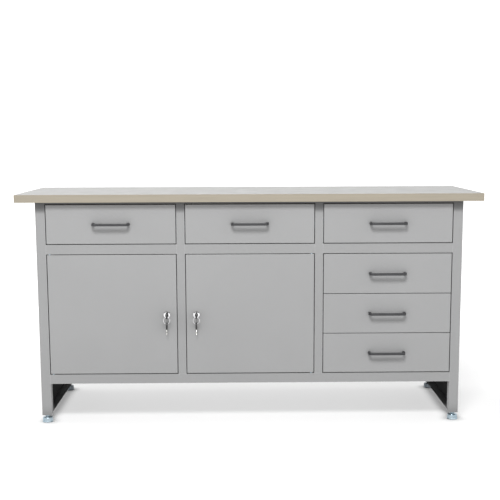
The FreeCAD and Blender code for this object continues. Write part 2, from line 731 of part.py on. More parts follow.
def drawers():
    outer_members = []
    for name, bay, low_z, tall in drawer_list():
        left = BAY_LEFT[bay]
        sub_part(f"drawer_{name}", drawer_front(left, low_z, tall), drawer_tray(left, low_z, tall))
        sub_part(f"handle_{name}", *handle(f"({left} + {BAY} / 2)", f"({low_z} + {tall} / 2)"))

        slide_z = f"({low_z} + {tall} / 2 - slide_lower)"
        slide_y = f"({FACE_Y} + front_thick)"
        lap = "slide_lap + slide_metal"
        sides = ((left, 1), (f"({left} + {BAY})", -1))
        middle = []
        inner = []
        for wall, side in sides:
            at = (wall, slide_y, slide_z)
            outer_members.append(channel("slide_outer", at, "0", lap, "(slide_tall / 2)", side))
            middle.append(channel("slide_middle", at, "slide_metal + slide_play",
                                  f"{lap} + slide_play", MIDDLE_TALL, side))
            inner.append(channel("slide_inner", at, "slide_thick", f"slide_thick - {lap} + slide_metal",
                                 INNER_TALL, side))
        sub_part(f"slide_middle_{name}", *middle)
        sub_part(f"slide_inner_{name}", *inner)
    sub_part("slide_outer_members", *outer_members)


MIDDLE_TALL = "(slide_tall / 2 - slide_metal - slide_play)"
INNER_TALL = "(slide_tall / 2 - 2 * slide_metal - 2 * slide_play)"


def drawer_front(left, low_z, tall):
    """A folded pan, open at the back, where the tray's front wall closes it."""
    low = (f"{left} + gap", FACE_Y, low_z)
    pan = box("front_block", low, (FRONT_WIDE, "front_thick", tall))
    pan = rounded("front_rounded", pan, "bend_radius", in_front_face)
    inside = box("front_inside", (f"{left} + gap + sheet", f"{FACE_Y} + sheet", f"{low_z} + sheet"),
                 (f"{FRONT_WIDE} - 2 * sheet", "front_thick - sheet", f"{tall} - 2 * sheet"))
    inside = rounded("front_inside_rounded", inside, "bend_radius - sheet", in_front_face)
    centre = f"({left} + {BAY} / 2)"
    middle_z = f"({low_z} + {tall} / 2)"
    holes = []
    for side in (-1, 1):
        start = (f"{centre} + {side} * handle_pitch / 2", FACE_Y, middle_z)
        holes.append(rod("handle_hole", start, "+Y", "screw_radius", "sheet"))
    return cut("drawer_front", pan, inside, *holes)


def drawer_tray(left, low_z, tall):
    """An open box of sheet steel between the inner slide members, its rim hemmed inwards."""
    wide = f"({BAY} - 2 * slide_thick)"
    low = (f"{left} + slide_thick", f"{FACE_Y} + front_thick", f"{low_z} + tray_raise")
    deep = f"({tall} - tray_raise - tray_drop)"
    block = box("tray_block", low, (wide, "slide_length", deep))
    hollow = box("tray_hollow", tuple(f"{edge} + sheet" for edge in low),
                 (f"{wide} - 2 * sheet", "slide_length - 2 * sheet", f"{deep} - sheet - hem_tall"))
    mouth = box("tray_mouth", tuple(f"{edge} + 2 * sheet" for edge in low),
                (f"{wide} - 4 * sheet", "slide_length - 4 * sheet", deep))
    return cut("drawer_tray", block, hollow, mouth)


def handle(centre, z):
    """A square bow with rounded bends, and its two screws through the front."""
    bar = "handle_bar"
    reach = "handle_reach"
    half = f"((handle_pitch + {bar}) / 2)"
    inner = f"({half} - {bar})"
    bow = body_at("handle_bow", (centre, FACE_Y, f"{z} - {bar} / 2"))
    sketch = sketch_on(bow, "XY_Plane")
    outline(sketch, [
        (f"-{half}", "0"), (f"-{half}", f"-{reach}"), (half, f"-{reach}"), (half, "0"),
        (inner, "0"), (inner, f"-{reach} + {bar}"), (f"-{inner}", f"-{reach} + {bar}"), (f"-{inner}", "0"),
    ])
    pad(bow, sketch, bar)
    bow = rounded("handle_bent", bow, "handle_bend", upright_at(f"{FACE_Y} - {reach}"))
    bow = rounded("handle_bow_bent", bow, "handle_crook", upright_at(f"{FACE_Y} - {reach} + {bar}"))
    screws = []
    for side in (-1, 1):
        x = f"{centre} + {side} * handle_pitch / 2"
        shank = rod("handle_screw_shank", (x, FACE_Y, z), "+Y", "screw_radius", "sheet")
        inside = f"{FACE_Y} + sheet"
        head = rod("handle_screw_head", (x, inside, z), "+Y", "screw_head", "handle_screw_tall")
        screws.append(joined("handle_screw", shank, head))
    return bow, *screws


def upright_at(y):
    """The test for the upright edges at one distance from the front."""
    wanted_y = number(y)

    def upright(start, end):
        level = abs(end.z - start.z) > TOLERANCE
        return level and all(abs(point.y - wanted_y) < TOLERANCE for point in (start, end))

    return upright


# ---------------------------------------------------------------- the whole bench

def check_and_export():
    doc.recompute()
    for item in doc.Objects:
        if "Invalid" in item.State or "Error" in item.State:
            raise RuntimeError(f"{item.Label} failed: {item.State}")
    for item in nodes:
        if item.Shape.isNull() or not item.Shape.isValid():
            raise RuntimeError(f"{item.Label} has no valid shape")
    for item in nodes:
        item.Shape.exportStep(f"parts/{item.Label}.step")
        print(item.Label, len(item.Shape.Solids), round(item.Shape.Volume))
    print(len(nodes), "nodes")


worktop()
legs()
leg_inserts()
posts_and_rails()
panels()
shelves()
feet()
hinge_pins()
doors()
locks()
drawers()
check_and_export()
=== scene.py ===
"""Looks for the steel workbench: materials, small parts, studio and camera. Metres."""

import json
import math
import random

import bmesh
import bpy
from mathutils import Matrix, Vector


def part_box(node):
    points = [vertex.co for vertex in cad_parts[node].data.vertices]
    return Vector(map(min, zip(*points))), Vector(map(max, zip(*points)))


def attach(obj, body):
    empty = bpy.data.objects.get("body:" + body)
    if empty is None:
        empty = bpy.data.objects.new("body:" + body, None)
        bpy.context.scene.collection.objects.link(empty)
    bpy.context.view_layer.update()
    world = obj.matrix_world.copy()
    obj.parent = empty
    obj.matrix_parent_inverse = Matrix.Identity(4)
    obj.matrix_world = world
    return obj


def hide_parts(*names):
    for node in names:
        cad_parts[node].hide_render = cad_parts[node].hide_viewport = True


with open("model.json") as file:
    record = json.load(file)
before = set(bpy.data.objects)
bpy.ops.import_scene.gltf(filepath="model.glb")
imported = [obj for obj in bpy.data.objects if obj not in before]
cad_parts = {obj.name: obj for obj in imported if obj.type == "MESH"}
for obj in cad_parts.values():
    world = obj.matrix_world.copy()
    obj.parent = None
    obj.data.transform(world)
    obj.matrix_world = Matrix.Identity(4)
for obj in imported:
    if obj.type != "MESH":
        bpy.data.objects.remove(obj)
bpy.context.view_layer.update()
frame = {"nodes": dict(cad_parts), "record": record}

MM = 0.001
FULL_TURN = 2.0 * math.pi
random.seed(7)

# Sizes of the bench's own parts that the added pieces follow.
POST_WIDE = 30 * MM
RAIL_WEB = 2 * MM
SHEET = 1 * MM
BLADE_TALL, BLADE_THICK = 7 * MM, 2 * MM

# Thresholds of the masks in the materials.
EDGE_STARTS, EDGE_FULL = 0.99, 0.86     # agreement of the rounded and the true normal
OPEN_SKY = 0.95                         # openness above which nothing darkens
INWARD = (-0.5, -0.7)                   # sideways place times sideways normal
WORKTOP_SHADOW_HEIGHTS = (0.780, 0.792)          # the strip of frame in the shade of the worktop
BACKING_HEIGHTS = (0.8262, 0.8266)      # between the worktop's backing and its face


# ---------------------------------------------------------------- node graph helpers

class Graph:
    """A material's node tree with short calls for the nodes used here."""

    def __init__(self, name):
        self.material = bpy.data.materials.new(name)
        self.material.use_nodes = True
        self.tree = self.material.node_tree
        self.shader = self.tree.nodes["Principled BSDF"]
        self.place = self.add("ShaderNodeTexCoord").outputs["Object"]

    def add(self, kind, **settings):
        node = self.tree.nodes.new(kind)
        for key, value in settings.items():
            setattr(node, key, value)
        return node

    def link(self, source, target):
        self.tree.links.new(source, target)

    def stretched(self, x, y, z):
        mapping = self.add("ShaderNodeMapping")
        mapping.inputs["Scale"].default_value = (x, y, z)
        self.link(self.place, mapping.inputs["Vector"])
        return mapping.outputs["Vector"]

    def height(self):
        """How high the point is above the floor."""
        split = self.add("ShaderNodeSeparateXYZ")
        self.link(self.place, split.inputs["Vector"])
        return split.outputs["Z"]

    def noise(self, scale, detail=3.0, roughness=0.5, vector=None):
        node = self.add("ShaderNodeTexNoise")
        node.inputs["Scale"].default_value = scale
        node.inputs["Detail"].default_value = detail
        node.inputs["Roughness"].default_value = roughness
        self.link(vector or self.place, node.inputs["Vector"])
        return node.outputs["Fac"]

    def cells(self, scale):
        node = self.add("ShaderNodeTexVoronoi", feature="F1")
        node.inputs["Scale"].default_value = scale
        self.link(self.place, node.inputs["Vector"])
        return node.outputs["Distance"]

    def span(self, value, low, high, to_low, to_high):
        """The value remapped from one range to another, clamped."""
        node = self.add("ShaderNodeMapRange")
        ends = {"From Min": low, "From Max": high, "To Min": to_low, "To Max": to_high}
        for key, number in ends.items():
            node.inputs[key].default_value = number
        self.link(value, node.inputs["Value"])
        return node.outputs["Result"]

    def mottle(self, scale, detail, roughness=0.5, vector=None, cut=(0.3, 0.7), least=0.0, most=1.0):
        """Noise with its middle range, cut, spread over least to most."""
        return self.span(self.noise(scale, detail, roughness, vector), *cut, least, most)

    def mix(self, amount, first, second):
        """Two colours, each a colour or a socket, mixed by an amount, which is a socket."""
        node = self.add("ShaderNodeMix", data_type="RGBA")
        colours = [socket for socket in node.inputs if socket.type == "RGBA"]
        for socket, value in zip(colours, (first, second)):
            if isinstance(value, tuple):
                socket.default_value = (*value, 1.0)
            else:
                self.link(value, socket)
        self.link(amount, node.inputs["Factor"])
        return next(socket for socket in node.outputs if socket.type == "RGBA")

    def math(self, operation, first, second):
        """One operation on two values; each is a number or a socket."""
        node = self.add("ShaderNodeMath", operation=operation)
        for socket, value in zip(node.inputs, (first, second)):
            if isinstance(value, (int, float)):
                socket.default_value = value
            else:
                self.link(value, socket)
        return node.outputs["Value"]

    def edges(self, radius):
        """1 on the object's sharp edges, 0 away from them."""
        rounded = self.add("ShaderNodeBevel", samples=4)
        rounded.inputs["Radius"].default_value = radius
        normal = self.add("ShaderNodeNewGeometry").outputs["Normal"]
        agree = self.add("ShaderNodeVectorMath", operation="DOT_PRODUCT")
        self.link(rounded.outputs["Normal"], agree.inputs[0])
        self.link(normal, agree.inputs[1])
        return self.span(agree.outputs["Value"], EDGE_STARTS, EDGE_FULL, 0.0, 1.0)

    def crevices(self, reach, deepest=0.15):
        """1 deep in gaps and corners, 0 in the open."""
        node = self.add("ShaderNodeAmbientOcclusion", samples=6)
        node.inputs["Distance"].default_value = reach
        return self.span(node.outputs["AO"], deepest, OPEN_SKY, 1.0, 0.0)

    def faces_inward(self):
        """1 on faces turned towards the middle of the bench, 0 on the others."""
        normal = self.add("ShaderNodeSeparateXYZ")
        self.link(self.add("ShaderNodeNewGeometry").outputs["Normal"], normal.inputs["Vector"])
        place = self.add("ShaderNodeSeparateXYZ")
        self.link(self.place, place.inputs["Vector"])
        turned_to = self.math("MULTIPLY", normal.outputs["X"], place.outputs["X"])
        return self.span(turned_to, *INWARD, 0.0, 1.0)

    def bump(self, height, depth, strength):
        """Surface relief of a given depth in metres, added to any relief already there."""
        node = self.add("ShaderNodeBump")
        node.inputs["Strength"].default_value = strength
        node.inputs["Distance"].default_value = depth
        self.link(height, node.inputs["Height"])
        normal = self.shader.inputs["Normal"]
        if normal.is_linked:
            self.link(normal.links[0].from_socket, node.inputs["Normal"])
        self.link(node.outputs["Normal"], normal)

    def colour(self, socket):
        self.link(socket, self.shader.inputs["Base Color"])

    def rough(self, socket):
        self.link(socket, self.shader.inputs["Roughness"])

    def fixed(self, **values):
        for key, value in values.items():
            self.shader.inputs[key.replace("_", " ")].default_value = value


def shade(colour, factor):
    return tuple(channel * factor for channel in colour)


# ---------------------------------------------------------------- materials

def powder_coat(name, colour, corner_shade=0.9, deepest=0.45, inside_shade=None, worktop_shadow=0.0):
    """Semi-gloss powder coat: orange peel, faint clouding, painted highlight on edges, painted shade in
    corners.

    corner_shade is how far the painted shade in corners darkens, worktop_shadow how far the painted shadow
    on the strip below the worktop does.  With inside_shade, the faces turned to the middle of the bench are
    that dark, as painted shade, and have no sheen.
    """
    g = Graph(name)
    cloud = g.mottle(scale=3.2, detail=4.0, cut=(0.35, 0.65))
    tone = g.mix(cloud, shade(colour, 0.965), shade(colour, 1.03))
    grain = g.mottle(scale=900.0, detail=2.0)
    tone = g.mix(grain, shade(colour, 0.97), tone)
    specks = g.span(g.cells(scale=160.0), 0.0, 0.05, 1.0, 0.0)
    tone = g.mix(specks, tone, shade(colour, 0.86))
    # Painted highlight: the coat is lighter along the sharp edges.
    edge_highlight = g.math("MULTIPLY", g.edges(1.1 * MM), 0.7)
    tone = g.mix(edge_highlight, tone, shade(colour, 1.9))
    # Painted shade: corners and gaps are darkened, within reach of occluding parts.
    corner_shade_mask = g.math("MULTIPLY", g.crevices(70 * MM, deepest), corner_shade)
    tone = g.mix(corner_shade_mask, tone, shade(colour, 0.2))
    if worktop_shadow:
        # Painted shadow of the worktop's overhang on the strip of frame just below it.
        shadow_strip = g.math("MULTIPLY", g.span(g.height(), *WORKTOP_SHADOW_HEIGHTS, 0.0, 1.0), worktop_shadow)
        tone = g.mix(shadow_strip, tone, shade(colour, 0.15))
    # Painted shade: the faces turned to the middle of the bench are darkened and lose their sheen.
    if inside_shade:
        inward = g.faces_inward()
        tone = g.mix(inward, tone, shade(colour, inside_shade))
        g.link(g.span(inward, 0.0, 1.0, 0.5, 0.0), g.shader.inputs["Specular IOR Level"])
    g.colour(tone)
    g.rough(g.mottle(scale=9.0, detail=6.0, roughness=0.62, least=0.31, most=0.45))
    g.bump(g.noise(scale=420.0, detail=2.0), depth=0.10 * MM, strength=0.55)
    g.bump(g.noise(scale=36.0, detail=1.0), depth=0.30 * MM, strength=0.25)
    g.fixed(IOR=1.48)
    return g.material


def laminate(name, colour, backing):
    """Pale laminate: long faint grain, fine pores, a satin sheen; plain backing paper underneath."""
    g = Graph(name)
    along = g.stretched(1.2, 26.0, 26.0)
    figure = g.mottle(scale=3.0, detail=7.0, roughness=0.6, vector=along)
    tone = g.mix(figure, shade(colour, 0.95), shade(colour, 1.04))
    pore = g.noise(scale=60.0, detail=4.0, roughness=0.7, vector=g.stretched(1.0, 30.0, 30.0))
    tone = g.mix(g.span(pore, 0.36, 0.46, 0.5, 0.0), tone, shade(colour, 0.84))
    fibres = g.mottle(scale=220.0, detail=4.0, roughness=0.65, vector=g.stretched(1.0, 3.0, 1.0))
    under = g.mix(fibres, shade(backing, 0.82), shade(backing, 1.12))
    g.colour(g.mix(g.span(g.height(), *BACKING_HEIGHTS, 0.0, 1.0), under, tone))
    g.rough(g.mottle(scale=14.0, detail=6.0, roughness=0.6, least=0.40, most=0.52))
    g.bump(pore, depth=0.06 * MM, strength=0.5)
    g.fixed(IOR=1.5, Specular_IOR_Level=0.3)
    return g.material


def edge_plastic(name, colour):
    """Plastic edge band: printed grain along its length, satin, with faint cutter ripples."""
    g = Graph(name)
    grain = g.stretched(1.0, 1.0, 40.0)
    figure = g.mottle(scale=5.0, detail=6.0, roughness=0.6, vector=grain)
    tone = g.mix(figure, shade(colour, 0.92), shade(colour, 1.06))
    patch = g.mottle(scale=7.0, detail=2.0, cut=(0.35, 0.65))
    tone = g.mix(g.math("MULTIPLY", patch, 0.5), tone, shade(colour, 1.05))
    g.colour(g.mix(g.math("MULTIPLY", g.edges(0.7 * MM), 0.4), tone, shade(colour, 1.3)))
    g.rough(g.mottle(scale=40.0, detail=3.0, least=0.36, most=0.48))
    ripples = g.noise(scale=300.0, detail=2.0, vector=g.stretched(1.0, 1.0, 0.1))
    g.bump(ripples, depth=0.05 * MM, strength=0.5)
    return g.material


def zinc(name, colour, bloom_colour):
    """Zinc plate: bluish, with soft mottling and fine scratches."""
    g = Graph(name)
    bloom = g.mottle(scale=70.0, detail=4.0, roughness=0.6)
    tint = g.mix(bloom, shade(colour, 0.80), shade(colour, 1.10))
    iris = g.mottle(scale=28.0, detail=2.0, cut=(0.45, 0.65), most=0.5)
    tint = g.mix(iris, tint, bloom_colour)
    # Painted shade: the colour darkens in small hollows and corners.
    g.colour(g.mix(g.math("MULTIPLY", g.crevices(6 * MM), 0.8), tint, shade(colour, 0.12)))
    g.rough(g.mottle(scale=180.0, detail=5.0, roughness=0.7, least=0.20, most=0.38))
    scratches = g.noise(scale=700.0, detail=3.0, roughness=0.6, vector=g.stretched(1.0, 1.0, 0.15))
    g.bump(scratches, depth=0.03 * MM, strength=0.4)
    g.fixed(Metallic=1.0)
    return g.material


def plated(name, colour, rough):
    """Polished plating or nickel silver with a faint haze and hairline wear."""
    g = Graph(name)
    haze = g.mottle(scale=120.0, detail=4.0, roughness=0.6)
    tone = g.mix(haze, shade(colour, 0.9), colour)
    # Painted shade: the colour darkens in small hollows and corners.
    g.colour(g.mix(g.math("MULTIPLY", g.crevices(3 * MM), 0.8), tone, shade(colour, 0.15)))
    g.rough(g.mottle(scale=260.0, detail=5.0, roughness=0.7, least=rough, most=rough + 0.12))
    g.bump(g.noise(scale=500.0, detail=2.0), depth=0.02 * MM, strength=0.3)
    g.fixed(Metallic=1.0)
    return g.material


def black_satin(name, colour, rough):
    """Dark lacquer or moulded plastic with a fine even texture, lighter on its edges."""
    g = Graph(name)
    patch = g.mottle(scale=45.0, detail=4.0)
    tone = g.mix(patch, shade(colour, 0.8), shade(colour, 1.25))
    g.colour(g.mix(g.math("MULTIPLY", g.edges(0.6 * MM), 0.35), tone, shade(colour, 3.0)))
    g.rough(g.mottle(scale=150.0, detail=4.0, least=rough - 0.06, most=rough + 0.08))
    g.bump(g.noise(scale=1300.0, detail=2.0), depth=0.04 * MM, strength=0.5)
    return g.material


GREY = (0.212, 0.213, 0.214)
FINISHES = {
    "worktop_laminate": laminate("pale laminate", (0.300, 0.299, 0.294), (0.30, 0.22, 0.14)),
    "edge_band": edge_plastic("beige edge band", (0.212, 0.188, 0.146)),
    # Every powder coat takes painted shade in corners; the frame also a painted shadow below the worktop,
    # the side panels painted shade on their inward faces.
    "frame_paint": powder_coat("grey powder coat, frame", shade(GREY, 0.95), worktop_shadow=0.6),
    "side_paint_with_painted_shade": powder_coat("grey powder coat, side panels, painted shade inside", shade(GREY, 0.95), inside_shade=0.16),
    "front_paint": powder_coat("grey powder coat, fronts", GREY, corner_shade=0.6, deepest=0.15),
    "zinc_plate": zinc("bright zinc plate", (0.40, 0.48, 0.53), (0.30, 0.42, 0.50)),
    # Zinc darkened as painted shade, for the rear feet.
    "zinc_in_painted_shade": zinc("zinc plate, painted shade", (0.15, 0.165, 0.18), (0.13, 0.16, 0.18)),
    "lock_chrome": plated("lock chrome", (0.70, 0.70, 0.71), 0.08),
    "handle_black": black_satin("handle lacquer", (0.016, 0.016, 0.018), 0.38),
    "key_plastic": black_satin("key plastic", (0.012, 0.012, 0.013), 0.42),
    "nickel": plated("key blade nickel silver", (0.80, 0.79, 0.74), 0.16),
}
# Square tubes are the nodes whose names start so: legs, posts and rails.
TUBE_WORDS = ("front", "rear", "middle", "mid", "bottom")
TUBE_ROUND = 1.2 * MM
SMALL_ROUND = 0.35 * MM


def finish_cad_nodes():
    """Every node takes its slot's material, save the side panels, which take a copy with painted shade on
    their inward faces; every node's sharp edges take a small round.
    """
    for entry in frame["record"]["subparts"]:
        node = frame["nodes"][entry["node"]]
        node.data.materials.clear()
        # The side panels take the powder coat with painted shade on their inward faces.
        side = entry["node"].startswith("side_panel")
        node.data.materials.append(FINISHES["side_paint_with_painted_shade" if side else entry["material_slot"]])
        first_word = entry["node"].split("_")[0]
        soften(node, TUBE_ROUND if first_word in TUBE_WORDS else SMALL_ROUND)


def soften(item, width):
    bevel = item.modifiers.new("edge round", "BEVEL")
    bevel.width = width
    bevel.segments = 2
    bevel.limit_method = "ANGLE"
    bevel.angle_limit = math.radians(35)
    bevel.use_clamp_overlap = True


# ---------------------------------------------------------------- mesh helpers

def from_bmesh(name, mesh):
    """An object of the mesh, smooth apart from its sharp edges."""
    data = bpy.data.meshes.new(name)
    bmesh.ops.remove_doubles(mesh, verts=mesh.verts, dist=0.002 * MM)
    bmesh.ops.recalc_face_normals(mesh, faces=mesh.faces)
    mesh.to_mesh(data)
    mesh.free()
    for face in data.polygons:
        face.use_smooth = True
    data.set_sharp_from_angle(angle=math.radians(38))
    item = bpy.data.objects.new(name, data)
    bpy.context.scene.collection.objects.link(item)
    return item


def piece(name, mesh, body, slot, finish=None, instead_of=()):
    """A finished piece: its mesh, its material, the body it rides on and the nodes it stands for."""
    item = from_bmesh(name, mesh)
    item.data.materials.append(FINISHES[finish or slot])
    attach(item, body)
    if instead_of:
        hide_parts(*instead_of)
    return item


def turned(at, axis):
    """The transform that takes the local Z axis to the given axis and the origin to a point."""
    return Matrix.Translation(at) @ Vector(axis).to_track_quat("Z", "Y").to_matrix().to_4x4()


def loft(mesh, rings, close_start=True, close_end=True):
    """Faces between rings of equally many points, with the two end rings filled."""
    made = [[mesh.verts.new(point) for point in ring] for ring in rings]
    count = len(made[0])
    for lower, upper in zip(made, made[1:]):
        for k in range(count):
            following = (k + 1) % count
            mesh.faces.new((lower[k], lower[following], upper[following], upper[k]))
    if close_start:
        mesh.faces.new(list(reversed(made[0])))
    if close_end:
        mesh.faces.new(made[-1])


def ring_of(radius, z, count):
    """Points round the Z axis; the radius is a number or a function of the angle."""
    points = []
    for k in range(count):
        angle = FULL_TURN * k / count
        r = radius(angle) if callable(radius) else radius
        points.append(Vector((r * math.cos(angle), r * math.sin(angle), z)))
    return points


def moved(transform, rings):
    return [[transform @ point for point in ring] for ring in rings]


def arc(centre, radius, start, end, steps):
    """Points of a flat arc as (x, y) pairs, angles in degrees."""
    points = []
    for step in range(steps + 1):
        angle = math.radians(start + (end - start) * step / steps)
        points.append((centre[0] + radius * math.cos(angle), centre[1] + radius * math.sin(angle)))
    return points


def rounded_rectangle(wide, tall, corner, steps):
    """A closed outline about the origin; steps is for each corner."""
    points = []
    for turn, (side, up) in zip((0, 90, 180, 270), ((1, 1), (-1, 1), (-1, -1), (1, -1))):
        centre = (side * (wide / 2 - corner), up * (tall / 2 - corner))
        points += arc(centre, corner, turn, turn + 90, steps)
    return points


# ---------------------------------------------------------------- screws and nuts

HEAD_SHARES = (0.9, 0.75, 0.66, 0.58, 0.42, 0.27, 0.18, 0.08)


def add_screw_head(mesh, transform, radius, tall):
    """A pan head with a cross recess, standing on the local XY plane."""
    count = 32
    recess_reach = 0.62 * radius
    recess_half = 0.15 * radius
    recess_deep = 0.55 * tall
    rim_tall = 0.45 * tall

    def recessed(point):
        flat = math.hypot(point.x, point.y)
        in_slot = min(abs(point.x), abs(point.y)) < recess_half
        if in_slot and flat < recess_reach:
            point.z -= recess_deep * (1.0 - 0.6 * flat / recess_reach)
        return point

    rings = [ring_of(radius, 0.0, count), ring_of(radius, rim_tall, count)]
    for share in HEAD_SHARES:
        height = rim_tall + (tall - rim_tall) * math.sqrt(1.0 - share ** 4)
        rings.append([recessed(point) for point in ring_of(radius * share, height, count)])
    loft(mesh, moved(transform, rings))


def add_hex_nut(mesh, transform, flats, tall, bore):
    """A hexagon nut with its corners chamfered at both faces and its bore countersunk."""
    count = 36
    inscribed = flats / 2
    face_round = 0.98 * inscribed
    corner_drop = 0.02 * flats
    slope = math.tan(math.radians(30))
    sink = 0.08 * flats

    def hexagon(angle):
        local = (angle + math.radians(30)) % math.radians(60) - math.radians(30)
        return inscribed / math.cos(local)

    def corner_ring(base, direction):
        ring = ring_of(hexagon, 0.0, count)
        for point in ring:
            point.z = base + direction * slope * (math.hypot(point.x, point.y) - inscribed)
        return ring

    rings = [
        ring_of(bore, sink, count), ring_of(bore + sink, 0.0, count), ring_of(face_round, 0.0, count),
        corner_ring(corner_drop, 1), corner_ring(tall - corner_drop, -1),
        ring_of(face_round, tall, count), ring_of(bore + sink, tall, count),
        ring_of(bore, tall - sink, count), ring_of(bore, sink, count),
    ]
    loft(mesh, moved(transform, rings), False, False)


def worktop_screws():
    """Cross-headed screws up through the top rails into the board."""
    low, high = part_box("worktop_screws")
    under_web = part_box("top_rails")[1].z - RAIL_WEB
    head, shank, head_tall, bite, point = 3.8 * MM, 2.0 * MM, 3.0 * MM, 14 * MM, 0.2 * MM
    columns = sorted({round(vertex.co.x, 4) for vertex in frame["nodes"]["worktop_screws"].data.vertices})
    clusters = []
    for x in columns:
        if not clusters or x - clusters[-1][-1] > 2 * head:
            clusters.append([x])
        else:
            clusters[-1].append(x)
    mesh = bmesh.new()
    for group in clusters:
        x = (group[0] + group[-1]) / 2
        for y in (low.y + head, high.y - head):
            add_screw_head(mesh, turned((x, y, under_web), (0, 0, -1)), head, head_tall)
            rings = [ring_of(shank, 0.0, 16), ring_of(shank, RAIL_WEB + bite, 16)]
            rings.append(ring_of(point, RAIL_WEB + bite + 1 * MM, 16))
            loft(mesh, moved(Matrix.Translation((x, y, under_web)), rings))
    piece("screws_worktop", mesh, "bench", "zinc_plate", instead_of=("worktop_screws",))


# ---------------------------------------------------------------- handles

HANDLE_PITCH = 128.0 * MM
# Distance in front of the drawer, in millimetres, and swell of the section there.
HANDLE_LEG = ((0.0, 1.14), (0.9, 1.14), (2.4, 1.04), (4.5, 1.0), (9.0, 1.0))


def handle_path(face, front):
    """Points (x, y, swell) along the middle of the bar, from its left foot round to its right one."""
    half, bend = HANDLE_PITCH / 2, 9.0 * MM
    path = [(-half, face - distance * MM, swell) for distance, swell in HANDLE_LEG]
    path += [(x, y, 1.0) for x, y in arc((-half + bend, front + bend), bend, 180, 270, 8)]
    path += [(share * (half - bend), front, 1.0) for share in (-0.5, 0.0, 0.5)]
    return path + [(-x, y, swell) for x, y, swell in reversed(path[:-3])]


def bow_handles():
    """Square-section bow handles with swept bends and flared feet, and the screws behind them."""
    bar = 9.0 * MM
    section = rounded_rectangle(bar, bar, 1.5 * MM, 4)
    for name in drawer_names():
        low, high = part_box(f"handle_{name}")
        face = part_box(f"drawer_{name}")[0].y
        centre_x, centre_z = (low.x + high.x) / 2, (low.z + high.z) / 2
        path = handle_path(face, low.y + bar / 2)
        rings = []
        for index, (x, y, swell) in enumerate(path):
            before = path[max(index - 1, 0)]
            after = path[min(index + 1, len(path) - 1)]
            along = Vector((after[0] - before[0], after[1] - before[1], 0.0)).normalized()
            across = Vector((along.y, -along.x, 0.0))
            here = Vector((centre_x + x, y, centre_z))
            rings.append([here + across * (u * swell) + Vector((0, 0, v * swell)) for u, v in section])
        mesh = bmesh.new()
        loft(mesh, rings)
        piece(f"bow_{name}", mesh, f"drawer_{name}", "handle_black", instead_of=(f"handle_{name}",))

        screws = bmesh.new()
        for side in (-1, 1):
            at = (centre_x + side * HANDLE_PITCH / 2, face + SHEET, centre_z)
            add_screw_head(screws, turned(at, (0, 1, 0)), 3.8 * MM, 2.5 * MM)
        piece(f"bow_screws_{name}", screws, f"drawer_{name}", "zinc_plate")


def drawer_names():
    """The drawers' names, read off their handles."""
    return [node[len("handle_"):] for node in frame["nodes"] if node.startswith("handle_")]


# ---------------------------------------------------------------- levelling feet

# Inset from the foot's rim and height above the floor, in millimetres, up the pressed rim.
FOOT_RIM = ((0.8, 0.0), (0.0, 0.5), (0.0, 1.8), (0.6, 2.6), (0.9, 5.0))


def add_foot(mesh, at, base, nut_level):
    """A pressed foot: its rim, its rounded body and the hub that takes the stud."""
    waist, body_top, hub, shoulder = base - 1.6 * MM, 19 * MM, 8 * MM, 3 * MM
    profile = [(base - inset * MM, height * MM) for inset, height in FOOT_RIM]
    profile.append((waist + 0.2 * MM, 11.0 * MM))
    profile += arc((waist - shoulder, body_top - shoulder), shoulder, 0, 90, 7)
    profile += [(hub + 2.0 * MM, body_top), (hub + 0.6 * MM, body_top + 0.4 * MM)]
    profile += [(hub, body_top + 1.0 * MM), (hub, nut_level - 0.3 * MM), (hub - 0.4 * MM, nut_level)]
    rings = [ring_of(radius, z, 48) for radius, z in profile]
    loft(mesh, moved(Matrix.Translation(at), rings))


def add_stud(mesh, at, start, length):
    """A threaded stud from a height above the foot's base; the thread fades out at its upper end."""
    crest, pitch, deep, steps_per_pitch = 4.95 * MM, 1.5 * MM, 0.75 * MM, 6
    count = int(length / pitch * steps_per_pitch)
    rings = []
    for step in range(count + 1):
        z = start + length * step / count
        fade = min(1.0, (count - step) / (2.0 * steps_per_pitch))

        def radius(angle, z=z, fade=fade):
            phase = (z / pitch - angle / FULL_TURN) % 1.0
            return crest - deep * (1.0 - fade) - deep * abs(2.0 * phase - 1.0) * fade

        rings.append(ring_of(radius, z, 24))
    loft(mesh, moved(Matrix.Translation(at), rings))


def levelling_feet():
    """Pressed zinc feet on threaded studs, with chamfered lock nuts."""
    nut_flats, nut_bore = 17 * MM, 5.0 * MM
    nut_low, nut_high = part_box("foot_lock_nuts")
    nuts = bmesh.new()
    for corner in (f"{row}_{column}" for row in ("front", "rear") for column in ("left", "right")):
        node = f"foot_{corner}"
        low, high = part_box(node)
        x, y = (low.x + high.x) / 2, (low.y + high.y) / 2
        mesh = bmesh.new()
        add_foot(mesh, (x, y, low.z), (high.x - low.x) / 2, nut_low.z)
        add_stud(mesh, (x, y, low.z), nut_low.z, high.z - nut_low.z)
        # Painted shade: the rear feet stand in the bench's shade, so their zinc is darkened.
        finish = "zinc_in_painted_shade" if corner.startswith("rear") else "zinc_plate"
        piece(f"leveller_{corner}", mesh, node, "zinc_plate", finish, instead_of=(node,))
        add_hex_nut(nuts, Matrix.Translation((x, y, nut_low.z)), nut_flats, nut_high.z - nut_low.z, nut_bore)
    piece("lock_nuts", nuts, "bench", "zinc_plate", instead_of=("foot_lock_nuts",))


# ---------------------------------------------------------------- locks and keys

# Share of the way from the outline to the hole, and share of the half thickness, across the head's face.
BOW_LAYERS = ((0.0, 0.45), (0.015, 0.78), (0.05, 0.96), (0.10, 1.0), (0.16, 0.94), (0.24, 0.80),
              (0.62, 0.80), (0.80, 0.84), (0.90, 1.0), (0.97, 0.96), (1.0, 0.8))


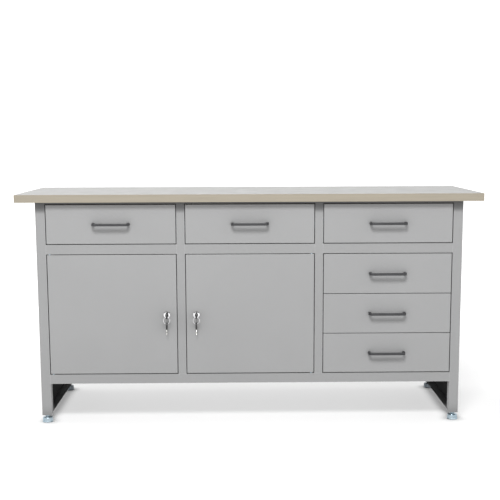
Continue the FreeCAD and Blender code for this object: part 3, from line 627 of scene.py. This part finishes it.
def add_bow(mesh, middle, along, up, size, hole_at):
    """A moulded plastic key head: rounded, with a raised rim and a hole.  along and up span its plane."""
    long, tall, thick = size
    corner, hole = 7 * MM, 2.7 * MM
    outline = [Vector((a, b)) for a, b in rounded_rectangle(long, tall, corner, 9)]
    side = along.cross(up).normalized()
    half = thick / 2

    def ring(share, height):
        points = []
        for corner_point in outline:
            outward = (corner_point - hole_at).normalized()
            flat = corner_point.lerp(hole_at + outward * hole, share)
            points.append(middle + along * flat.x + up * flat.y + side * (half * height))
        return points

    upper = [ring(share, height) for share, height in BOW_LAYERS]
    lower = [ring(share, -height) for share, height in reversed(BOW_LAYERS)]
    loft(mesh, [*upper, *lower, upper[0]], False, False)


def add_blade(mesh, start, along, up, length):
    """A double-sided key blade with wafer cuts in both edges, a groove in each side and a tapered tip."""
    side = along.cross(up).normalized()
    steps, cuts_start, cuts_span, tip_start, tip_span = 46, 0.2, 0.68, 0.9, 0.1
    edge, groove_low, groove_high = 0.3 * MM, 0.5 * MM, 0.9 * MM
    cuts = [random.choice((0.0, 0.5, 1.0, 1.4)) * MM for _ in range(8)]
    rings = []
    for step in range(steps + 1):
        share = step / steps
        along_cut = (share - cuts_start) / cuts_span * len(cuts)
        deep = 0.0
        if 0.0 <= along_cut < len(cuts):
            fraction = along_cut % 1.0
            deep = cuts[int(along_cut)] * min(1.0, 3.2 * min(fraction, 1.0 - fraction))
        taper = max(0.0, share - tip_start) / tip_span
        high = (BLADE_TALL / 2 - deep) * (1.0 - 0.55 * taper)
        wide = BLADE_THICK / 2 * (1.0 - 0.3 * taper)
        bed = wide - 0.45 * wide
        right = [(wide, high - edge), (wide, groove_high), (bed, groove_low), (bed, -groove_low),
                 (wide, -groove_high), (wide, -high + edge), (wide - edge, -high)]
        section = right + [(-across, above) for across, above in reversed(right)]
        section += [(-wide + edge, high), (wide - edge, high)]
        here = start + along * (length * share)
        rings.append([here + side * across + up * above for across, above in section])
    loft(mesh, rings)


def add_collar(mesh, start, along, up, length, tall, thick):
    """The moulding that narrows from the key's head to its blade."""
    side = along.cross(up).normalized()
    rings = []
    for share in (0.0, 0.25, 0.7, 1.0):
        grow = 1.0 - 0.35 * share ** 2
        section = rounded_rectangle(thick * grow, tall * grow, 1.2 * MM * grow, 3)
        here = start + along * (length * share)
        rings.append([here + side * across + up * above for across, above in section])
    loft(mesh, rings)


def keys():
    """The key in each lock, its split ring and the spare key hanging from it."""
    out, back, down, up = Vector((0, -1, 0)), Vector((0, 1, 0)), Vector((0, 0, -1)), Vector((0, 0, 1))
    thick, bow, tall, inset, lap = 6 * MM, 23 * MM, 20 * MM, 5.5 * MM, 1 * MM
    hole_out, hole_down = bow / 2 - inset, tall / 2 - inset
    for side in ("left", "right"):
        low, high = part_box(f"key_{side}")
        x, z = (low.x + high.x) / 2, (low.z + high.z) / 2
        middle = Vector((x, low.y + bow / 2, z))
        head = bmesh.new()
        add_bow(head, middle, out, up, (bow, tall, thick), Vector((hole_out, -hole_down)))
        piece(f"key_head_{side}", head, f"key_{side}", "key_plastic", instead_of=(f"key_{side}",))
        shaft = bmesh.new()
        add_blade(shaft, Vector((x, low.y + bow - lap, z)), back, up, high.y - low.y - bow)
        piece(f"key_blade_{side}", shaft, f"key_{side}", "lock_chrome", "nickel")

        low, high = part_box(f"spare_key_{side}")
        y = (low.y + high.y) / 2
        middle = Vector((x, y, high.z - bow / 2))
        head = bmesh.new()
        add_bow(head, middle, down, out, (bow, tall, thick), Vector((-hole_out, 0.0)))
        neck = Vector((x, y, high.z - bow + 0.5 * MM))
        add_collar(head, neck, down, out, 3.5 * MM, 10 * MM, 4.4 * MM)
        piece(f"spare_head_{side}", head, f"spare_{side}", "key_plastic", instead_of=(f"spare_key_{side}",))
        shaft = bmesh.new()
        add_blade(shaft, Vector((x, y, high.z - bow + lap)), down, out, high.z - low.z - bow + lap)
        piece(f"spare_blade_{side}", shaft, f"spare_{side}", "lock_chrome", "nickel")
        split_ring(side)


def split_ring(side):
    """Two flat turns of spring wire, lapped, with their ends showing."""
    low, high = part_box(f"key_ring_{side}")
    middle = (low + high) / 2.0
    wire = (high.y - low.y) / 2
    radius = (high.x - low.x) / 2 - wire
    steps, turns = 96, 2.0
    section = rounded_rectangle(1.7 * wire, 0.92 * wire, 0.3 * wire, 2)
    rings = []
    for step in range(steps + 1):
        share = step / steps
        angle = FULL_TURN * turns * share + math.radians(40)
        offset = wire * (share - 0.5)
        outward = Vector((math.cos(angle), 0.0, math.sin(angle)))
        here = middle + outward * radius + Vector((0.0, offset, 0.0))
        rings.append([here + outward * u + Vector((0.0, v, 0.0)) for u, v in section])
    mesh = bmesh.new()
    loft(mesh, rings)
    piece(f"split_ring_{side}", mesh, f"ring_{side}", "lock_chrome", instead_of=(f"key_ring_{side}",))


def lock_fittings():
    """The dark plug face with its keyway, the nut that holds the lock and the screw of its cam."""
    proud, radius, half_wide, half_tall = 0.35 * MM, 6.3 * MM, 1.2 * MM, 4.0 * MM
    rim, slot = [], []
    for point in ring_of(1.0, 0.0, 48):
        reach = min(half_wide / max(abs(point.x), 0.001), half_tall / max(abs(point.y), 0.001))
        rim.append((point.x * radius, point.y * radius))
        slot.append((point.x * reach, point.y * reach))
    layers = [(rim, 0.0, 1.0), (rim, 0.6 * proud, 1.0), (rim, proud, 0.93), (slot, proud, 1.25),
              (slot, 0.5 * proud, 1.0), (slot, 0.0, 1.0)]
    for side in ("left", "right"):
        low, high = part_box(f"lock_housing_{side}")
        x, z = (low.x + high.x) / 2, (low.z + high.z) / 2
        rings = []
        for outline, height, grow in layers:
            rings.append([Vector((x + u * grow, low.y - height, z + v * grow)) for u, v in outline])
        face = bmesh.new()
        loft(face, rings, False, False)
        piece(f"plug_face_{side}", face, f"lock_{side}", "key_plastic")

        nut = bmesh.new()
        sheet_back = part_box(f"door_{side}")[0].y + SHEET
        add_hex_nut(nut, turned((x, sheet_back, z), (0, 1, 0)), 24 * MM, 4 * MM, 9.5 * MM)
        piece(f"lock_nut_{side}", nut, f"door_{side}", "zinc_plate")

        bolt = bmesh.new()
        cam_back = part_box(f"lock_cam_{side}")[1].y
        add_screw_head(bolt, turned((x, cam_back, z), (0, 1, 0)), 5.0 * MM, 3.0 * MM)
        piece(f"cam_screw_{side}", bolt, f"lock_{side}", "zinc_plate")


# ---------------------------------------------------------------- sheet metal details

def add_dome(mesh, at, axis, radius, tall, pip=0.0):
    """A shallow round mark or rivet head; pip is the depth of its centre hole."""
    layers = ((1.0, -0.05 * MM), (0.97, 0.4 * tall), (0.78, 0.85 * tall),
              (0.45, tall), (0.28, tall), (0.22, tall - pip))
    rings = [ring_of(share * radius, height, 14) for share, height in layers]
    loft(mesh, moved(turned(at, axis), rings))


def spaced(start, end, gap):
    """Evenly spaced values from start to end, about a gap apart."""
    count = max(1, round(abs(end - start) / gap))
    return [start + (end - start) * k / count for k in range(count + 1)]


def add_rivet(mesh, at):
    add_dome(mesh, at, (0, 1, 0), radius=4.5 * MM, tall=1.1 * MM, pip=0.7 * MM)


def panel_fixings():
    """Rivets round the back panel and spot welds along the flanges of the side panels."""
    inset, gap = 14 * MM, 150 * MM
    weld_inset, weld_end, weld_gap = 9 * MM, 40 * MM, 90 * MM
    low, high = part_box("back_panel")
    rivets = bmesh.new()
    for x in spaced(low.x + inset, high.x - inset, gap):
        for z in (low.z + inset, high.z - inset):
            add_rivet(rivets, (x, high.y, z))
    for z in spaced(low.z + inset, high.z - inset, gap)[1:-1]:
        for x in (low.x + inset, high.x - inset, *partition_lines()):
            add_rivet(rivets, (x, high.y, z))
    piece("back_rivets", rivets, "bench", "frame_paint")

    for name, outward in (("left", -1), ("right", 1)):
        low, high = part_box(f"side_panel_{name}")
        face = low.x if outward < 0 else high.x
        welds = bmesh.new()
        for z in spaced(low.z + weld_end, high.z - weld_end, weld_gap):
            for y in (low.y + weld_inset, high.y - weld_inset):
                add_dome(welds, (face, y, z), (outward, 0, 0), radius=3.0 * MM, tall=0.22 * MM)
        piece(f"spot_welds_{name}", welds, "bench", "frame_paint")


def partition_lines():
    """Where the two middle posts, and the partitions behind them, stand."""
    low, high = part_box("middle_posts")
    return (low.x + POST_WIDE / 2, high.x - POST_WIDE / 2)


def add_bead(mesh, start, end, radius):
    """A weld bead with the ripples of its passes, along an inside corner."""
    run = Vector(end) - Vector(start)
    length = run.length
    pass_length = 0.7 * MM
    steps = max(8, int(length / pass_length))
    rings = []
    for step in range(steps + 1):
        share = step / steps
        ends = min(1.0, 6.0 * share, 6.0 * (1.0 - share)) ** 0.5
        ripple = 1.0 + 0.10 * math.sin(step * 1.9) + 0.05 * random.uniform(-1, 1)
        rings.append(ring_of(max(0.15 * radius, radius * ends * ripple), length * share, 10))
    loft(mesh, moved(turned(start, run.normalized()), rings))


def weld_beads():
    """Beads under and behind the joints of the rails with the legs, where nobody grinds them."""
    leg_low, leg_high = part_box("front_legs")
    rear_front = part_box("rear_legs")[0].y
    leg = leg_high.y - leg_low.y
    rail_low, rail_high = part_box("bottom_rails")
    inset, clear_of_top, bead = 3 * MM, 20 * MM, 1.6 * MM
    mesh = bmesh.new()
    for x in (rail_low.x, rail_high.x):
        for y in (leg_low.y, rear_front):
            add_bead(mesh, (x, y + inset, rail_low.z), (x, y + leg - inset, rail_low.z), bead)
        start = (x, leg_high.y, rail_low.z + inset)
        add_bead(mesh, start, (x, leg_high.y, rail_high.z - clear_of_top), bead)
    piece("weld_beads", mesh, "bench", "frame_paint")


# ---------------------------------------------------------------- studio

def sweep():
    """A round white floor that curves up into a wall all about, so every side has a plain ground.

    It glows, less near the bench, where its shadow shows, and not at all where a foot touches it.
    """
    hub, mid, flat, bend, wall, steps, around = 1.5, 3.5, 6.0, 1.6, 3.4, 10, 96
    profile = [(hub, 0.0), (mid, 0.0), (flat, 0.0)]
    for step in range(1, steps + 1):
        angle = 0.5 * math.pi * step / steps
        profile.append((flat + bend * math.sin(angle), bend * (1.0 - math.cos(angle))))
    profile.append((flat + bend, bend + wall))
    mesh = bmesh.new()
    loft(mesh, [ring_of(radius, height, around) for radius, height in profile], close_end=False)
    ground = from_bmesh("studio_sweep", mesh)
    g = Graph("studio paper")
    g.colour(g.mix(g.mottle(scale=0.8, detail=3.0), (0.34, 0.34, 0.34), (0.36, 0.36, 0.36)))
    far = g.add("ShaderNodeVectorMath", operation="LENGTH")
    g.link(g.place, far.inputs[0])
    near_glow, far_glow = 0.57, 0.99
    glow = g.span(far.outputs["Value"], 1.0, 2.6, near_glow, far_glow)
    # Painted contact shadow: the glow fades out close to the feet and the other parts touching the floor.
    contact_shadow = g.span(g.crevices(45 * MM, 0.4), 0.0, 0.8, 1.0, 0.0)
    g.link(g.math("MULTIPLY", glow, contact_shadow), g.shader.inputs["Emission Strength"])
    g.fixed(Roughness=0.95, Emission_Color=(1.0, 1.0, 1.0, 1.0))
    ground.data.materials.append(g.material)


def area_light(name, where, target, size, power):
    data = bpy.data.lights.new(name, "AREA")
    data.shape = "RECTANGLE"
    data.size, data.size_y = size
    data.energy = power
    lamp = bpy.data.objects.new(name, data)
    bpy.context.scene.collection.objects.link(lamp)
    lamp.location = where
    lamp.rotation_euler = (Vector(target) - Vector(where)).to_track_quat("-Z", "Y").to_euler()
    lamp.visible_camera = False


def lights():
    """A key high behind the camera, a bank over the left end of the worktop, a weak fill and sky."""
    area_light("key", where=(-0.5, -4.9, 5.2), target=(0.0, -0.2, 0.6), size=(2.2, 1.5), power=525.0)
    area_light("overhead", where=(-2.2, 1.2, 4.6), target=(-0.4, 0.3, 0.6), size=(3.6, 3.0), power=105.0)
    area_light("back_fill", where=(0.0, 4.2, 3.6), target=(0.0, 0.3, 0.6), size=(4.0, 1.6), power=20.0)
    world = bpy.data.worlds.new("studio")
    bpy.context.scene.world = world
    world.use_nodes = True
    sky = world.node_tree.nodes["Background"]
    sky.inputs["Color"].default_value = (1.0, 1.0, 1.0, 1.0)
    sky.inputs["Strength"].default_value = 0.03
    bpy.context.scene.view_settings.view_transform = "Standard"


def camera():
    """In front of the bench, a little left of its middle and above the worktop."""
    data = bpy.data.cameras.new("camera")
    data.sensor_width = 36.0
    data.lens = 78.34
    data.shift_x = -0.0143
    data.shift_y = 0.1376
    eye = bpy.data.objects.new("camera", data)
    bpy.context.scene.collection.objects.link(eye)
    yaw, pitch, roll = math.radians(-0.906), math.radians(-9.483), math.radians(-0.185)
    turn = Matrix.Rotation(yaw, 4, "Z") @ Matrix.Rotation(math.radians(90) + pitch, 4, "X")
    turn = turn @ Matrix.Rotation(roll, 4, "Z")
    standpoint = Matrix.Translation((-0.0373, -4.2457, 1.0531))
    eye.matrix_world = standpoint @ turn
    bpy.context.scene.camera = eye


camera()
finish_cad_nodes()
worktop_screws()
bow_handles()
levelling_feet()
lock_fittings()
keys()
panel_fixings()
weld_beads()
sweep()
lights()
